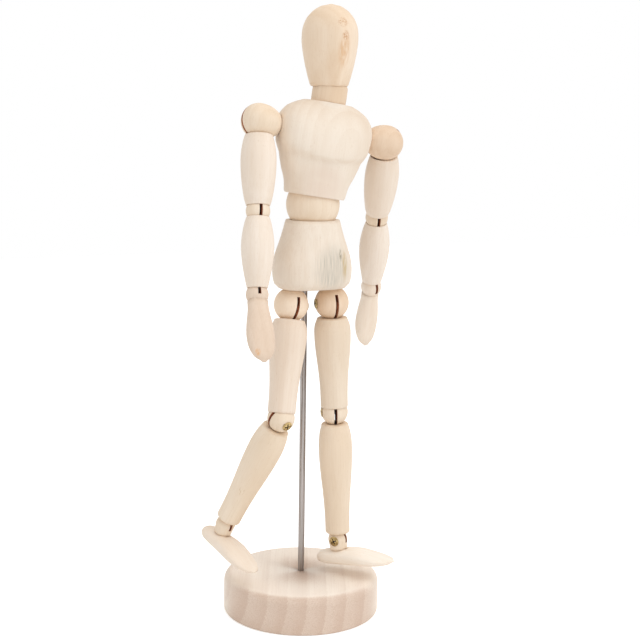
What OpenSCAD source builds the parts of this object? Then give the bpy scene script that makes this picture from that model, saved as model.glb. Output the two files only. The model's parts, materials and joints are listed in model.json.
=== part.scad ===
// Jointed wooden drawing figure in a walking pose, on a steel rod and a round base.
// The figure faces -Y, its left side is +X, and the origin is the middle of the base's underside.

/* [Base and rod] */
// Diameter of the base
base_d = 78.8; // [60:0.2:100]
// Height of the base
base_h = 19.4; // [12:0.2:24]
// Radius of the base's top edge
base_round = 4.5; // [1:0.5:6]
// Radius of the base's bottom edge
base_foot_round = 1.2; // [0.4:0.2:3]
// Diameter of the support rod
rod_d = 3.2; // [2:0.1:5]
// Depth of the rod in the base
rod_in_base = 12; // [6:0.5:14]
// Depth of the rod's hole in the pelvis
rod_in_pelvis = 10; // [6:0.5:14]
// Height of the hip balls' centres above the table
hip_height = 159; // [140:0.5:175]
// How far the hips stand in front of the rod
hips_ahead = 8.5; // [3:0.5:9]

/* [Pelvis and waist] */
// Height of the pelvis
pelvis_h = 33.2; // [28:0.5:42]
// Half width of the pelvis at its widest
pelvis_w = 19.6; // [16:0.2:24]
// Half depth of the pelvis at its widest
pelvis_t = 14.6; // [12:0.2:18]
// Half width of the pelvis at its top
pelvis_top_w = 13.6; // [12:0.2:16]
// Height of the pelvis's underside above the hip balls' centres
pelvis_floor = 8; // [5:0.2:8]
// Radius of the waist ball
waist_r = 13; // [11:0.1:15]
// Height of the waist ball's centre above the pelvis's top
waist_rise = 7.4; // [5:0.1:9]

/* [Chest] */
// Height of the chest
chest_h = 45; // [38:0.5:52]
// Half width of the chest at the shoulders
chest_w = 24; // [20:0.2:28]
// Half width of the chest at its foot
chest_foot_w = 14.8; // [13:0.2:18]
// How far the chest stands out in front
chest_front = 15.4; // [12:0.2:19]
// How far the chest stands out behind
chest_back = 12.6; // [10:0.2:16]
// Height of the chest's foot above the waist ball's centre
chest_foot_rise = 4; // [2:0.2:7]
// Height of the shoulder balls' centres above the chest's foot
shoulder_rise = 31; // [26:0.5:36]
// Distance of the shoulder balls' centres from the middle
shoulder_x = 33.6; // [30:0.2:40]

/* [Neck and head] */
// Radius of the neck's ball ends
neck_r = 9.3; // [8:0.1:11]
// Radius of the neck's barrel
neck_barrel_r = 8.5; // [7:0.1:9]
// Height of the neck's centre above the chest's top
neck_rise = 3.9; // [2.5:0.1:5]
// Height of the head
head_h = 38.6; // [34:0.2:46]
// Largest half width of the head
head_r = 13.8; // [11:0.1:16]
// Half width of the head at its flat underside
head_foot_r = 9.5; // [8.5:0.1:11]
// Height of the head's underside above the neck's centre
head_rise = 4.1; // [3:0.1:5]

/* [Arms] */
// Radius of the shoulder balls
shoulder_r = 8.6; // [7:0.1:10]
// Reach of the shoulder balls towards the chest
shoulder_reach = 11.6; // [9:0.1:13]
// Shoulder centre to elbow centre
upper_arm_len = 43; // [36:0.5:52]
// Largest radius of the upper arm
upper_arm_rad = 8.5; // [7:0.1:10]
// Radius of the elbow balls
elbow_r = 5.75; // [4.8:0.05:6.6]
// Elbow centre to wrist centre
forearm_len = 39.5; // [34:0.5:48]
// Largest radius of the forearm
forearm_rad = 7.8; // [6.4:0.1:9]
// Radius of the wrist balls
wrist_r = 5.35; // [4.6:0.05:6]
// Wrist centre to fingertip
hand_len = 35.5; // [28:0.5:42]
// Half width of the hand
hand_w = 6.6; // [5:0.1:8]
// Half thickness of the hand
hand_t = 4.3; // [3.4:0.1:5.5]

/* [Legs] */
// Distance of the hip balls' centres from the middle
hip_x = 11; // [9.4:0.1:12]
// Radius of the hip balls
hip_r = 8.45; // [7.4:0.05:9]
// Hip centre to knee centre
thigh_len = 55.5; // [48:0.5:64]
// Largest radius of the thigh
thigh_rad = 9.1; // [8:0.1:9.2]
// Radius of the knee balls
knee_r = 6.7; // [6:0.05:7.4]
// Knee centre to ankle centre
shin_len = 66.8; // [56:0.5:70]
// Largest radius of the shin
shin_rad = 8.45; // [7:0.1:9.5]
// Radius of the ankle balls
ankle_r = 4.85; // [4.2:0.05:5.4]
// Ankle centre to sole
ankle_h = 12.4; // [10:0.1:13]
// Length of the foot in front of the ankle
foot_toe = 30; // [26:0.5:38]
// Length of the foot behind the ankle
foot_heel = 12.5; // [7:0.5:12]
// Half width of the foot
foot_w = 7.4; // [6:0.1:9]

/* [Joint fittings] */
// Gap between a ball and its cup
seat_gap = 0.15; // [0.1:0.05:0.4]
// Width of the slots in the balls
slot_w = 1.5; // [1.2:0.1:2]
// Diameter of the hinge pins and screw shanks
pin_d = 1.6; // [1.2:0.1:2]
// Diameter of the screw heads
screw_head_d = 5; // [3.6:0.1:5.6]
// Diameter of the spring wire
wire_d = 0.6; // [0.5:0.02:0.64]
// Outer diameter of the springs in the limbs
spring_d = 4; // [3:0.1:4.6]
// Gap between a spring and its bore
spring_gap = 0.5; // [0.3:0.1:1]
// Gap between a spring's end loop and its pin
loop_gap = 0.2; // [0.1:0.05:0.4]
// Gap between the rod and its hole in the pelvis
rod_gap = 0.05; // [0.02:0.01:0.1]

/* [Trunk pose] */
// Turn of the chest to its left
waist_turn = -3; // [-40:1:40]
// Bend of the chest backwards
waist_bend = 0; // [-12:1:12]
// Lean of the chest to its left
waist_lean = 8.5; // [-12:1:12]
// Turn of the head to its left
neck_turn = 0; // [-60:1:60]
// Lean of the head to its left
head_tilt = -8; // [-12:1:12]

/* [Arm pose] */
// Swing of the right arm backwards
right_arm_swing = -14; // [-90:1:45]
// Swing of the left arm backwards
left_arm_swing = 27; // [-90:1:45]
// Raise of the right arm sideways
right_arm_raise = -3; // [-5:1:90]
// Raise of the left arm sideways
left_arm_raise = 14; // [0:1:90]
// Bend of the right elbow
right_elbow_bend = 0; // [-20:1:90]
// Bend of the left elbow
left_elbow_bend = 8; // [-20:1:90]
// Turn of the right elbow's slot
right_elbow_turn = -6; // [-60:1:60]
// Turn of the left elbow's slot
left_elbow_turn = -6; // [-60:1:60]
// Turn of the right hand
right_wrist_turn = -2; // [-90:1:90]
// Turn of the left hand
left_wrist_turn = 24; // [-90:1:90]
// Bend of the right hand backwards
right_wrist_bend = -20; // [-60:1:60]
// Bend of the left hand backwards
left_wrist_bend = 6; // [-60:1:60]

/* [Leg pose] */
// Turn of the right hip ball
right_hip_turn = 0; // [-30:1:30]
// Turn of the left hip ball
left_hip_turn = -6; // [-30:1:30]
// Lean of the right hip ball in its socket
right_hip_lean = 9.6; // [-12:0.1:12]
// Lean of the left hip ball in its socket
left_hip_lean = -2.5; // [-12:0.1:12]
// Swing of the right thigh backwards
right_hip_swing = -10; // [-90:1:40]
// Swing of the left thigh backwards
left_hip_swing = 0; // [-90:1:40]
// Turn of the right knee ball
right_knee_turn = -77; // [-90:1:90]
// Turn of the left knee ball
left_knee_turn = -14; // [-90:1:90]
// Lean of the right knee ball in its cup
right_knee_lean = 34; // [0:1:35]
// Turn of the right foot
right_ankle_turn = 95; // [-90:1:120]
// Turn of the left foot
left_ankle_turn = 58; // [-90:1:90]
// Droop of the right foot's toe
right_ankle_bend = -12; // [-30:1:45]
// Droop of the left foot's toe
left_ankle_bend = -5; // [-30:1:45]

/* [Hidden] */
$fn = 48;

// Finishes as the photograph shows them
wood = [0.93, 0.87, 0.79];
base_wood = [0.90, 0.82, 0.74];
steel = [0.70, 0.68, 0.68];
brass = [0.72, 0.60, 0.36];

// Springs, loops and bores that several pieces share
pin_r = pin_d / 2;
wire_r = wire_d / 2;
spring_r = spring_d / 2;
bore_r = spring_r + spring_gap;
loop_r = pin_r + loop_gap + wire_r;
loop_side = slot_w / 4;
bead_r = 1.2 * wire_r;
bead_half = 0.05;
neck_bead_r = 1.5 * wire_r;
bead_roll = 40;
channel_from = 15;
shank_bore_r = loop_r + wire_r + loop_gap;
coil_clear = 2.5;
pin_inset = 0.6;
pin_blind = 2.4;
anchor_end = 4.4;
tongue_t = slot_w * 0.6;
tongue_w = 2 * loop_r + wire_d;
tongue_neck = 9;
swivel_r = spring_r - wire_d - 0.3;
swivel_h = 0.8;
swivel_gap = 0.2;

// Rims of the cups, measured from the ball's centre along the limb
shoulder_rim = 0.78 * shoulder_r;
arm_lowest = -4;
elbow_rim_above = 0.44 * elbow_r;
elbow_rim_below = 0.50 * elbow_r;
wrist_rim = 0.57 * wrist_r;
hip_rim = 0.88 * hip_r;
knee_rim_above = 0.38 * knee_r;
knee_rim_below = 0.87 * knee_r;
ankle_rim = 0.78 * ankle_r;

// Half width of a cup's mouth at a given distance from the ball's centre
function mouth(ball_r, rim) = sqrt(pow(ball_r + seat_gap, 2) - rim * rim);
rim_land = 0.45;

// Rigid moves as matrices
function shift(v) = [[1, 0, 0, v[0]], [0, 1, 0, v[1]], [0, 0, 1, v[2]], [0, 0, 0, 1]];
function turn_x(a) = [[1, 0, 0, 0], [0, cos(a), -sin(a), 0], [0, sin(a), cos(a), 0], [0, 0, 0, 1]];
function turn_y(a) = [[cos(a), 0, sin(a), 0], [0, 1, 0, 0], [-sin(a), 0, cos(a), 0], [0, 0, 0, 1]];
function turn_z(a) = [[cos(a), -sin(a), 0, 0], [sin(a), cos(a), 0, 0], [0, 0, 1, 0], [0, 0, 0, 1]];
function down(d) = shift([0, 0, -d]);

// A pose value of the left side where s is 1, and of the right side where s is -1
function pick(s, right_value, left_value) = s > 0 ? left_value : right_value;

// Frames of the bodies, each at its joint's centre, from the base outwards
pelvis_top = pelvis_floor + pelvis_h;
anchor_z = pelvis_floor + 0.58 * pelvis_h;
chest_anchor_z = chest_foot_rise + 0.34 * chest_h;
neck_anchor_z = chest_foot_rise + 0.86 * chest_h;
head_anchor_z = head_rise + 0.36 * head_h;
shoulder_z = chest_foot_rise + shoulder_rise;
pelvis_at = shift([0, -hips_ahead, hip_height]);
waist_at = pelvis_at * shift([0, 0, pelvis_top + waist_rise]);
waist_ball_at = waist_at * turn_z(waist_turn);
chest_at = waist_ball_at * turn_x(waist_bend) * turn_y(waist_lean);
neck_at = chest_at * shift([0, 0, chest_foot_rise + chest_h + neck_rise]) * turn_z(neck_turn);
head_at = neck_at * turn_y(head_tilt);

function shoulder_at(s) = chest_at * shift([s * shoulder_x, 0, shoulder_z])
    * turn_x(pick(s, right_arm_swing, left_arm_swing));
function upper_arm_at(s) = shoulder_at(s) * turn_y(-s * pick(s, right_arm_raise, left_arm_raise));
function elbow_at(s) = upper_arm_at(s) * down(upper_arm_len)
    * turn_z(pick(s, right_elbow_turn, left_elbow_turn));
function forearm_at(s) = elbow_at(s) * turn_x(-pick(s, right_elbow_bend, left_elbow_bend));
function wrist_at(s) = forearm_at(s) * down(forearm_len)
    * turn_z(pick(s, right_wrist_turn, left_wrist_turn));
function hand_at(s) = wrist_at(s) * turn_x(pick(s, right_wrist_bend, left_wrist_bend));
function hip_at(s) = pelvis_at * shift([s * hip_x, 0, 0])
    * turn_z(pick(s, right_hip_turn, left_hip_turn)) * turn_y(pick(s, right_hip_lean, left_hip_lean));
function thigh_at(s) = hip_at(s) * turn_x(pick(s, right_hip_swing, left_hip_swing));
function knee_at(s) = thigh_at(s) * down(thigh_len)
    * turn_z(pick(s, right_knee_turn, left_knee_turn)) * turn_y(pick(s, right_knee_lean, 0));
function ankle_at(s) = knee_at(s) * down(shin_len)
    * turn_z(pick(s, right_ankle_turn, left_ankle_turn));
function foot_at(s) = ankle_at(s) * turn_x(pick(s, right_ankle_bend, left_ankle_bend));

// Radius of a turned limb at t along it: a quick swell to the thickest place, then a taper
function limb_r(t, r_top, r_max, r_end, t_max, fall) = t < t_max
    ? r_top + (r_max - r_top) * pow(sin(90 * t / t_max), 0.9)
    : r_end + (r_max - r_end) * pow(cos(90 * (t - t_max) / (1 - t_max)), fall);

// Smooth value between hand-set stations, each [position, value, ...], taken from column c
function spline(p0, p1, p2, p3, u) = p1 + 0.5 * u * (p2 - p0
    + u * (2 * p0 - 5 * p1 + 4 * p2 - p3 + u * (3 * (p1 - p2) + p3 - p0)));
function span_of(st, x, i = 0) = i >= len(st) - 2 || x < st[i + 1][0] ? i : span_of(st, x, i + 1);
function at_station(st, x, c) = let(
    i = span_of(st, x),
    last = len(st) - 1,
    u = (x - st[i][0]) / (st[i + 1][0] - st[i][0]))
    spline(st[max(i - 1, 0)][c], st[i][c], st[i + 1][c], st[min(i + 2, last)][c], u);

// A power of a sine or cosine that keeps its sign
function bulge(v, n) = sign(v) * pow(abs(v), 2 / n);

// A closed skin over rings of equal point counts, the first ring lowest
module skin(rings) {
    n = len(rings[0]);
    m = len(rings);
    points = [for (ring = rings) each ring];
    sides = [for (j = [0:m - 2], i = [0:n - 1]) each [
        [j * n + i, (j + 1) * n + i, (j + 1) * n + (i + 1) % n],
        [j * n + i, (j + 1) * n + (i + 1) % n, j * n + (i + 1) % n]]];
    bottom = [for (i = [1:n - 2]) [0, i, i + 1]];
    top = [for (i = [1:n - 2]) [(m - 1) * n, (m - 1) * n + i + 1, (m - 1) * n + i]];
    polyhedron(points = points, faces = concat(sides, bottom, top));
}

// A turned limb from one ball's centre down to the next one's, with a cup at each end
module turned_limb(length, top_rim, top_ball, r_top, r_max, t_max, fall, end_rim, end_ball, r_end, edge) {
    run = length - top_rim - end_rim;
    steps = 26;
    difference() {
        rotate_extrude() polygon([
            [0, -top_rim],
            for (a = [0:30:90]) [r_top - edge + edge * sin(a), -top_rim - edge + edge * cos(a)],
            for (i = [2:steps - 2]) [limb_r(i / steps, r_top, r_max, r_end, t_max, fall),
                -top_rim - run * i / steps],
            for (a = [0:30:90]) [r_end - edge + edge * cos(a), -top_rim - run + edge - edge * sin(a)],
            [0, -top_rim - run]
        ]);
        sphere(r = top_ball + seat_gap);
        down_by(length) sphere(r = end_ball + seat_gap);
        down_by(length) cylinder(r = bore_r, h = length);
    }
}

module down_by(d) {
    translate([0, 0, -d]) children();
}

// A slot across the hinge axis, open at the ball's foot, front and back, up to a height
module slot(ball_r, up_to) {
    translate([-slot_w / 2, -2 * ball_r, -2 * ball_r]) cube([slot_w, 4 * ball_r, 2 * ball_r + up_to]);
}

// The ring of wire at a spring's end, round a pin along X
module end_loop(side) {
    translate([side, 0, 0]) rotate([0, 90, 0]) rotate_extrude() translate([loop_r, 0]) circle(r = wire_r);
}

// A length of close-wound turns up the Z axis, closed at both ends
module coil(from, to) {
    turns = floor((to - from) / wire_d);
    pitch = (to - from) / turns;
    translate([0, 0, from]) rotate_extrude() polygon([
        [spring_r - wire_d, 0],
        [spring_r - 0.4 * wire_d, 0],
        for (i = [0:turns - 1]) each [[spring_r, pitch * (i + 0.5)], [spring_r - 0.25 * wire_d, pitch * (i + 1)]],
        [spring_r - wire_d, to - from]
    ]);
    for (z = [from, to - wire_d]) translate([0, 0, z]) cylinder(r = spring_r - 0.4 * wire_d, h = wire_d);
}

module shank(from, to, side) {
    translate([side, 0, from]) cylinder(r = wire_r, h = to - from);
}

// An arm's hinge pin goes in from the left and stops short of the ball's right side
module pin_place(r) {
    translate([-r + pin_blind, 0, 0]) rotate([0, 90, 0]) children();
}

module plain_pin(r) {
    color(steel) pin_place(r) cylinder(r = pin_r, h = 2 * r - pin_blind - pin_inset);
}

// A screw along X whose head sits in the ball's side on the given hand
module hinge_screw(ball_r, s) {
    head_r = screw_head_d / 2;
    face = sqrt(pow(ball_r, 2) - pow(head_r, 2)) + 0.25;
    color(brass) rotate([0, 90 * s, 0]) difference() {
        union() {
            down_by(ball_r - pin_inset) cylinder(r = pin_r, h = face + ball_r - pin_inset);
            translate([0, 0, face - 1.2]) cylinder(r1 = pin_r, r2 = head_r, h = 1.2);
            intersection() {
                translate([0, 0, face]) cylinder(r = head_r, h = 1);
                translate([0, 0, face + 0.6 - 2.6 * head_r]) sphere(r = 2.6 * head_r);
            }
        }
        for (a = [0, 90]) rotate([0, 0, a + 20])
            translate([-head_r * 0.62, -head_r * 0.12, face - 0.35]) cube([head_r * 1.24, head_r * 0.24, 2]);
    }
}

// The hole and countersink that a hinge screw needs
module screw_hole(ball_r, s) {
    head_r = screw_head_d / 2;
    face = sqrt(pow(ball_r, 2) - pow(head_r, 2)) + 0.25;
    rotate([0, 90 * s, 0]) {
        down_by(ball_r - pin_inset) cylinder(r = pin_r, h = 2 * ball_r);
        translate([0, 0, face - 1.2]) cylinder(r1 = pin_r, r2 = head_r, h = 1.2);
        translate([0, 0, face]) cylinder(r = head_r, h = ball_r);
    }
}

module base() {
    r = base_d / 2;
    color(base_wood) difference() {
        rotate_extrude() polygon([
            [0, 0],
            for (a = [0:15:90]) [r - base_foot_round + base_foot_round * sin(a), base_foot_round * (1 - cos(a))],
            for (a = [0:9:90]) [r - base_round + base_round * cos(a), base_h - base_round + base_round * sin(a)],
            [0, base_h]
        ]);
        translate([0, 0, base_h - rod_in_base]) cylinder(d = rod_d, h = rod_in_base + 1);
    }
}

module support_rod() {
    foot = base_h - rod_in_base;
    color(steel) translate([0, 0, foot])
        cylinder(d = rod_d, h = hip_height + pelvis_floor + rod_in_pelvis - foot);
}

// Pelvis stations: share of the height, half width and half depth as shares, squareness
pelvis_st = [
    [0.00, 0.84 * pelvis_w, 0.84 * pelvis_t, 2.5],
    [0.06, 0.945 * pelvis_w, 0.93 * pelvis_t, 2.5],
    [0.16, 0.99 * pelvis_w, 0.98 * pelvis_t, 2.5],
    [0.32, pelvis_w, pelvis_t, 2.4],
    [0.48, 0.955 * pelvis_w, 0.98 * pelvis_t, 2.3],
    [0.66, 0.5 * (pelvis_w + pelvis_top_w), 0.95 * pelvis_t, 2.2],
    [0.82, pelvis_top_w + 0.2 * (pelvis_w - pelvis_top_w), 0.92 * pelvis_t, 2.15],
    [0.97, pelvis_top_w, 0.92 * pelvis_top_w, 2.1],
    [1.00, pelvis_top_w - 0.5, 0.92 * pelvis_top_w - 0.5, 2.1]
];

module pelvis() {
    steps = 22;
    sides = 44;
    rings = [for (j = [0:steps]) let(
        t = j < 3 ? 0.03 * j : 0.06 + 0.94 * (j - 2) / (steps - 2),
        w = at_station(pelvis_st, t, 1),
        d = at_station(pelvis_st, t, 2),
        n = at_station(pelvis_st, t, 3))
        [for (i = [0:sides - 1]) let(a = 360 * i / sides)
            [w * bulge(cos(a), n), d * bulge(sin(a), n), pelvis_floor + t * pelvis_h]]];
    color(wood) multmatrix(pelvis_at) difference() {
        skin(rings);
        translate([0, 0, pelvis_top + waist_rise]) sphere(r = waist_r + seat_gap);
        translate([0, 0, anchor_z - bore_r]) cylinder(r = bore_r, h = pelvis_h);
        for (s = [-1, 1]) translate([s * hip_x, 0, 0]) {
            sphere(r = hip_r + seat_gap);
            cylinder(r = bore_r, h = anchor_z + bore_r);
        }
        translate([0, hips_ahead, 0]) cylinder(r = rod_d / 2 + rod_gap, h = pelvis_floor + rod_in_pelvis);
        translate([-hip_x - anchor_end, 0, anchor_z]) rotate([0, 90, 0]) cylinder(r = pin_r, h = 2 * pelvis_w);
    }
}

module pelvis_anchor_pin() {
    color(steel) multmatrix(pelvis_at) translate([-hip_x - anchor_end, 0, anchor_z]) rotate([0, 90, 0])
        cylinder(r = pin_r, h = 2 * hip_x + 2 * anchor_end);
}

// The two springs that pull the hip balls up, each from the anchor pin to the hip's screw
module hip_springs() {
    color(steel) for (s = [-1, 1]) {
        multmatrix(pelvis_at * shift([s * hip_x, 0, 0])) {
            translate([0, 0, anchor_z]) end_loop(0);
            shank(anchor_z - coil_clear, anchor_z - loop_r, 0);
            coil(hip_r + 1, anchor_z - coil_clear);
        }
        multmatrix(pelvis_at * shift([s * hip_x, 0, 0]) * turn_z(pick(s, right_hip_turn, left_hip_turn)))
            leaned_end(pick(s, right_hip_lean, left_hip_lean), hip_r + 1.5);
    }
}

module waist_ball() {
    color(wood) multmatrix(waist_ball_at) difference() {
        sphere(r = waist_r);
        down_by(2 * waist_r) cylinder(r = bore_r, h = 4 * waist_r);
        for (f = [0, 180]) rotate([f, 0, 0]) translate([0, 0, waist_r * 0.4])
            cylinder(r1 = bore_r, r2 = bore_r + 2.4, h = waist_r * 0.6);
    }
}

module waist_spring() {
    color(steel) {
        multmatrix(waist_at) {
            low = anchor_z - pelvis_top - waist_rise;
            translate([0, 0, low]) end_loop(0);
            shank(low + loop_r, low + coil_clear, 0);
            coil(low + coil_clear, -wire_d);
            shank(-2 * wire_d, -bead_half, 0);
            sphere(r = bead_r);
        }
        multmatrix(chest_at) {
            shank(bead_half, chest_anchor_z - loop_r, 0);
            translate([0, 0, chest_anchor_z]) rotate([0, 0, 90]) end_loop(0);
        }
    }
}

// Chest stations: share of the height, half width, front, back, squareness
pec_line = 0.44;
pec_sag = 0.045;
chest_st = [
    [0.00, chest_foot_w - 0.6, 0.865 * chest_front, 1.055 * chest_back, 2.3],
    [0.02, chest_foot_w, 0.885 * chest_front, 1.075 * chest_back, 2.3],
    [0.14, chest_foot_w + 0.12 * (chest_w - chest_foot_w), 0.86 * chest_front, 1.06 * chest_back, 2.3],
    [0.25, chest_foot_w + 0.36 * (chest_w - chest_foot_w), 0.845 * chest_front, 1.04 * chest_back, 2.35],
    [pec_line - 0.025, chest_foot_w + 0.62 * (chest_w - chest_foot_w), 0.87 * chest_front, 1.02 * chest_back, 2.4],
    [pec_line + 0.01, chest_foot_w + 0.71 * (chest_w - chest_foot_w), 0.975 * chest_front, 1.01 * chest_back, 2.5],
    [0.52, chest_foot_w + 0.87 * (chest_w - chest_foot_w), chest_front, chest_back, 2.6],
    [0.70, chest_w, 0.95 * chest_front, 0.98 * chest_back, 2.6],
    [0.82, 0.965 * chest_w, 0.86 * chest_front, 0.92 * chest_back, 2.5],
    [0.91, 0.85 * chest_w, 0.74 * chest_front, 0.82 * chest_back, 2.4],
    [0.965, 0.69 * chest_w, 0.65 * chest_front, 0.74 * chest_back, 2.2],
    [1.00, 0.52 * chest_w, 0.58 * chest_front, 0.66 * chest_back, 2.1]
];

// The chest's front, whose ridge sags towards the middle
function chest_front_at(t, a) = at_station(chest_st, min(1, t + pec_sag * pow(sin(a), 4)), 2);

module chest() {
    steps = 36;
    sides = 48;
    rings = [for (j = [0:steps]) let(
        t = j == 0 ? 0 : j == 1 ? 0.02 : 0.02 + 0.98 * (j - 1) / (steps - 1),
        w = at_station(chest_st, t, 1),
        back = at_station(chest_st, t, 3),
        n = at_station(chest_st, t, 4))
        [for (i = [0:sides - 1]) let(a = 360 * i / sides)
            [w * bulge(cos(a), n), (sin(a) < 0 ? chest_front_at(t, a) : back) * bulge(sin(a), n),
                chest_foot_rise + t * chest_h]]];
    color(wood) multmatrix(chest_at) difference() {
        skin(rings);
        sphere(r = waist_r + seat_gap);
        cylinder(r = bore_r, h = chest_anchor_z + bore_r);
        translate([0, 0, chest_foot_rise + chest_h + neck_rise]) sphere(r = neck_r + seat_gap);
        translate([0, 0, neck_anchor_z - bore_r]) cylinder(r = bore_r, h = chest_h);
        for (s = [-1, 1]) translate([s * shoulder_x, 0, shoulder_z]) rotate([0, -90 * s, 0])
            shoulder_form(seat_gap);
        translate([-shoulder_x, 0, shoulder_z]) rotate([0, 90, 0]) cylinder(r = bore_r, h = 2 * shoulder_x);
        for (z = [chest_anchor_z, neck_anchor_z]) translate([0, -anchor_end, z]) rotate([-90, 0, 0])
            cylinder(r = pin_r, h = 2 * chest_back);
    }
}

module chest_anchor_pins() {
    color(steel) multmatrix(chest_at) for (z = [chest_anchor_z, neck_anchor_z])
        translate([0, -anchor_end, z]) rotate([-90, 0, 0]) cylinder(r = pin_r, h = 2 * anchor_end);
}

// The shoulder ball's outer form: a ball whose inner half reaches along +Z towards the chest
module shoulder_form(gap) {
    r = shoulder_r + gap;
    stretch = (shoulder_reach + gap) / r;
    rotate_extrude() polygon([for (a = [-90:6:90]) [a == 90 || a == -90 ? 0 : r * cos(a),
        r * sin(a) * (a > 0 ? stretch : 1)]]);
}

module shoulder_ball(s) {
    color(wood) multmatrix(shoulder_at(s)) difference() {
        rotate([0, -90 * s, 0]) shoulder_form(0);
        rotate([0, 0, 90]) slot(shoulder_r, 0.3 * shoulder_r);
        rotate([0, 0, 90]) slot_side(s);
        rotate([0, -90 * s, 0]) cylinder(r = shank_bore_r, h = 2 * shoulder_reach);
        shoulder_pin_place() cylinder(r = pin_r, h = 2 * shoulder_r);
    }
}

// The shoulder's pin goes in from behind and stops short of the front
module shoulder_pin_place() {
    translate([0, -shoulder_r + pin_blind, 0]) rotate([-90, 0, 0]) children();
}

// The part of the shoulder's slot that runs up over the ball's outer side
module slot_side(s) {
    translate([-slot_w / 2, s > 0 ? -2 * shoulder_r : 0.35 * shoulder_r, -shoulder_r])
        cube([slot_w, 1.65 * shoulder_r, 3 * shoulder_r]);
}

module shoulder_pin(s) {
    color(steel) multmatrix(shoulder_at(s)) shoulder_pin_place()
        cylinder(r = pin_r, h = 2 * shoulder_r - pin_blind - pin_inset);
}

// The spring across the chest, whose end loops lie on the shoulder pins
module chest_spring() {
    half = shoulder_x - shoulder_reach - 1;
    color(steel) {
        multmatrix(chest_at * shift([0, 0, shoulder_z])) rotate([0, 90, 0]) coil(-half, half);
        for (s = [-1, 1]) multmatrix(shoulder_at(s)) rotate([0, 0, 90]) {
            end_loop(-loop_side);
            translate([-loop_side, 0, 0]) rotate([s * -90, 0, 0])
                translate([0, 0, loop_r]) cylinder(r = wire_r, h = shoulder_reach + 1.6 - loop_r);
        }
    }
}

module upper_arm(s) {
    color(wood) multmatrix(upper_arm_at(s)) difference() {
        turned_limb(upper_arm_len,
            shoulder_rim, shoulder_r, 0.78 * shoulder_r, upper_arm_rad, 0.36, 0.8,
            elbow_rim_above, elbow_r, mouth(elbow_r, elbow_rim_above) + rim_land, 0.4);
        rotate([0, s * (arm_lowest - 90), 0]) shoulder_form(seat_gap);
    }
}

module upper_arm_spring(s) {
    color(steel) {
        multmatrix(upper_arm_at(s)) {
            rotate([0, 0, 90]) end_loop(loop_side);
            down_by(shoulder_r + coil_clear) rotate([0, 0, 90])
                shank(-wire_d, shoulder_r + coil_clear - loop_r, loop_side);
            down_by(upper_arm_len) coil(elbow_r + 1, upper_arm_len - shoulder_r - coil_clear);
        }
        multmatrix(elbow_at(s)) {
            leaned_end(0, elbow_r + 1 + wire_d);
        }
    }
}

module elbow_ball(s) {
    color(wood) multmatrix(elbow_at(s)) slotted_ball(elbow_r, 0.45 * elbow_r, 0)
        pin_place(elbow_r) cylinder(r = pin_r, h = 2 * elbow_r);
}

// A ball with a slot below, a bore above for the spring's end, and the hole that the child cuts.
// A ball that leans in its cup has the bore flared, or widened to a channel, so that the wire runs straight on.
module slotted_ball(r, slot_top, lean) {
    difference() {
        sphere(r = r);
        slot(r, slot_top);
        if (lean < channel_from)
            cylinder(r1 = shank_bore_r, r2 = shank_bore_r + 2 * r * tan(abs(lean)), h = 2 * r);
        else
            for (a = [0, lean / 2, lean]) rotate([0, -a, 0]) cylinder(r = shank_bore_r, h = 2 * r);
        children();
    }
}

// A spring's end below its coil: a loop that leans with its ball, and a wire straight up to the coil
module leaned_end(lean, to) {
    rotate([0, lean, 0]) end_loop(-loop_side);
    loop_top = [loop_r * sin(lean) - loop_side * cos(lean), 0, loop_r * cos(lean) + loop_side * sin(lean)];
    translate(loop_top) sphere(r = bead_r);
    shank(loop_top[2], to, loop_top[0]);
}

module elbow_pin(s) {
    multmatrix(elbow_at(s)) plain_pin(elbow_r);
}

module forearm(s) {
    color(wood) multmatrix(forearm_at(s)) turned_limb(forearm_len,
        elbow_rim_below, elbow_r, mouth(elbow_r, elbow_rim_below) + rim_land, forearm_rad, 0.42, 1.1,
        wrist_rim, wrist_r, mouth(wrist_r, wrist_rim) + rim_land, 0.4);
}

// A limb's lower spring: a loop on the pin above, and a closed end round the swivel tongue below
module lower_spring(length, ball_r) {
    down_by(ball_r + coil_clear) shank(-wire_d, ball_r + coil_clear - loop_r, loop_side);
    end_loop(loop_side);
    difference() {
        down_by(length) coil(tongue_neck - swivel_h - wire_d, length - ball_r - coil_clear);
        down_by(length) cylinder(r = wire_r + 0.2 + swivel_gap, h = tongue_neck);
    }
}

module forearm_spring(s) {
    color(steel) multmatrix(forearm_at(s)) lower_spring(forearm_len, elbow_r);
}

// A flat tongue on a pin, with a neck and a head that turn in the spring above
module swivel_tongue(ball_r) {
    flat_top = ball_r + 1;
    color(steel) {
        rotate([0, 90, 0]) difference() {
            union() {
                cylinder(d = tongue_w, h = tongue_t, center = true);
                translate([-flat_top, -tongue_w / 2, -tongue_t / 2]) cube([flat_top, tongue_w, tongue_t]);
            }
            cylinder(r = pin_r + 0.05, h = 2, center = true);
        }
        translate([0, 0, flat_top - 0.4]) cylinder(r = wire_r + 0.15, h = tongue_neck - flat_top + 0.4);
        translate([0, 0, tongue_neck]) cylinder(r = swivel_r, h = swivel_h);
    }
}

module wrist_tongue(s) {
    multmatrix(wrist_at(s)) swivel_tongue(wrist_r);
}

// Hand stations: distance below the wrist, half thickness, half width, shift to the palm
hand_st = [
    [0.10, 0.94 * hand_t, 0.74 * hand_w, 0],
    [0.22, 0.92 * hand_t, 0.76 * hand_w, 0],
    [0.36, hand_t, 0.88 * hand_w, -0.02],
    [0.52, hand_t, 0.99 * hand_w, -0.06],
    [0.66, 0.94 * hand_t, hand_w, -0.14],
    [0.80, 0.78 * hand_t, 0.89 * hand_w, -0.32],
    [0.92, 0.52 * hand_t, 0.62 * hand_w, -0.56],
    [1.00, 0.14 * hand_t, 0.16 * hand_w, -0.76]
];

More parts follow.
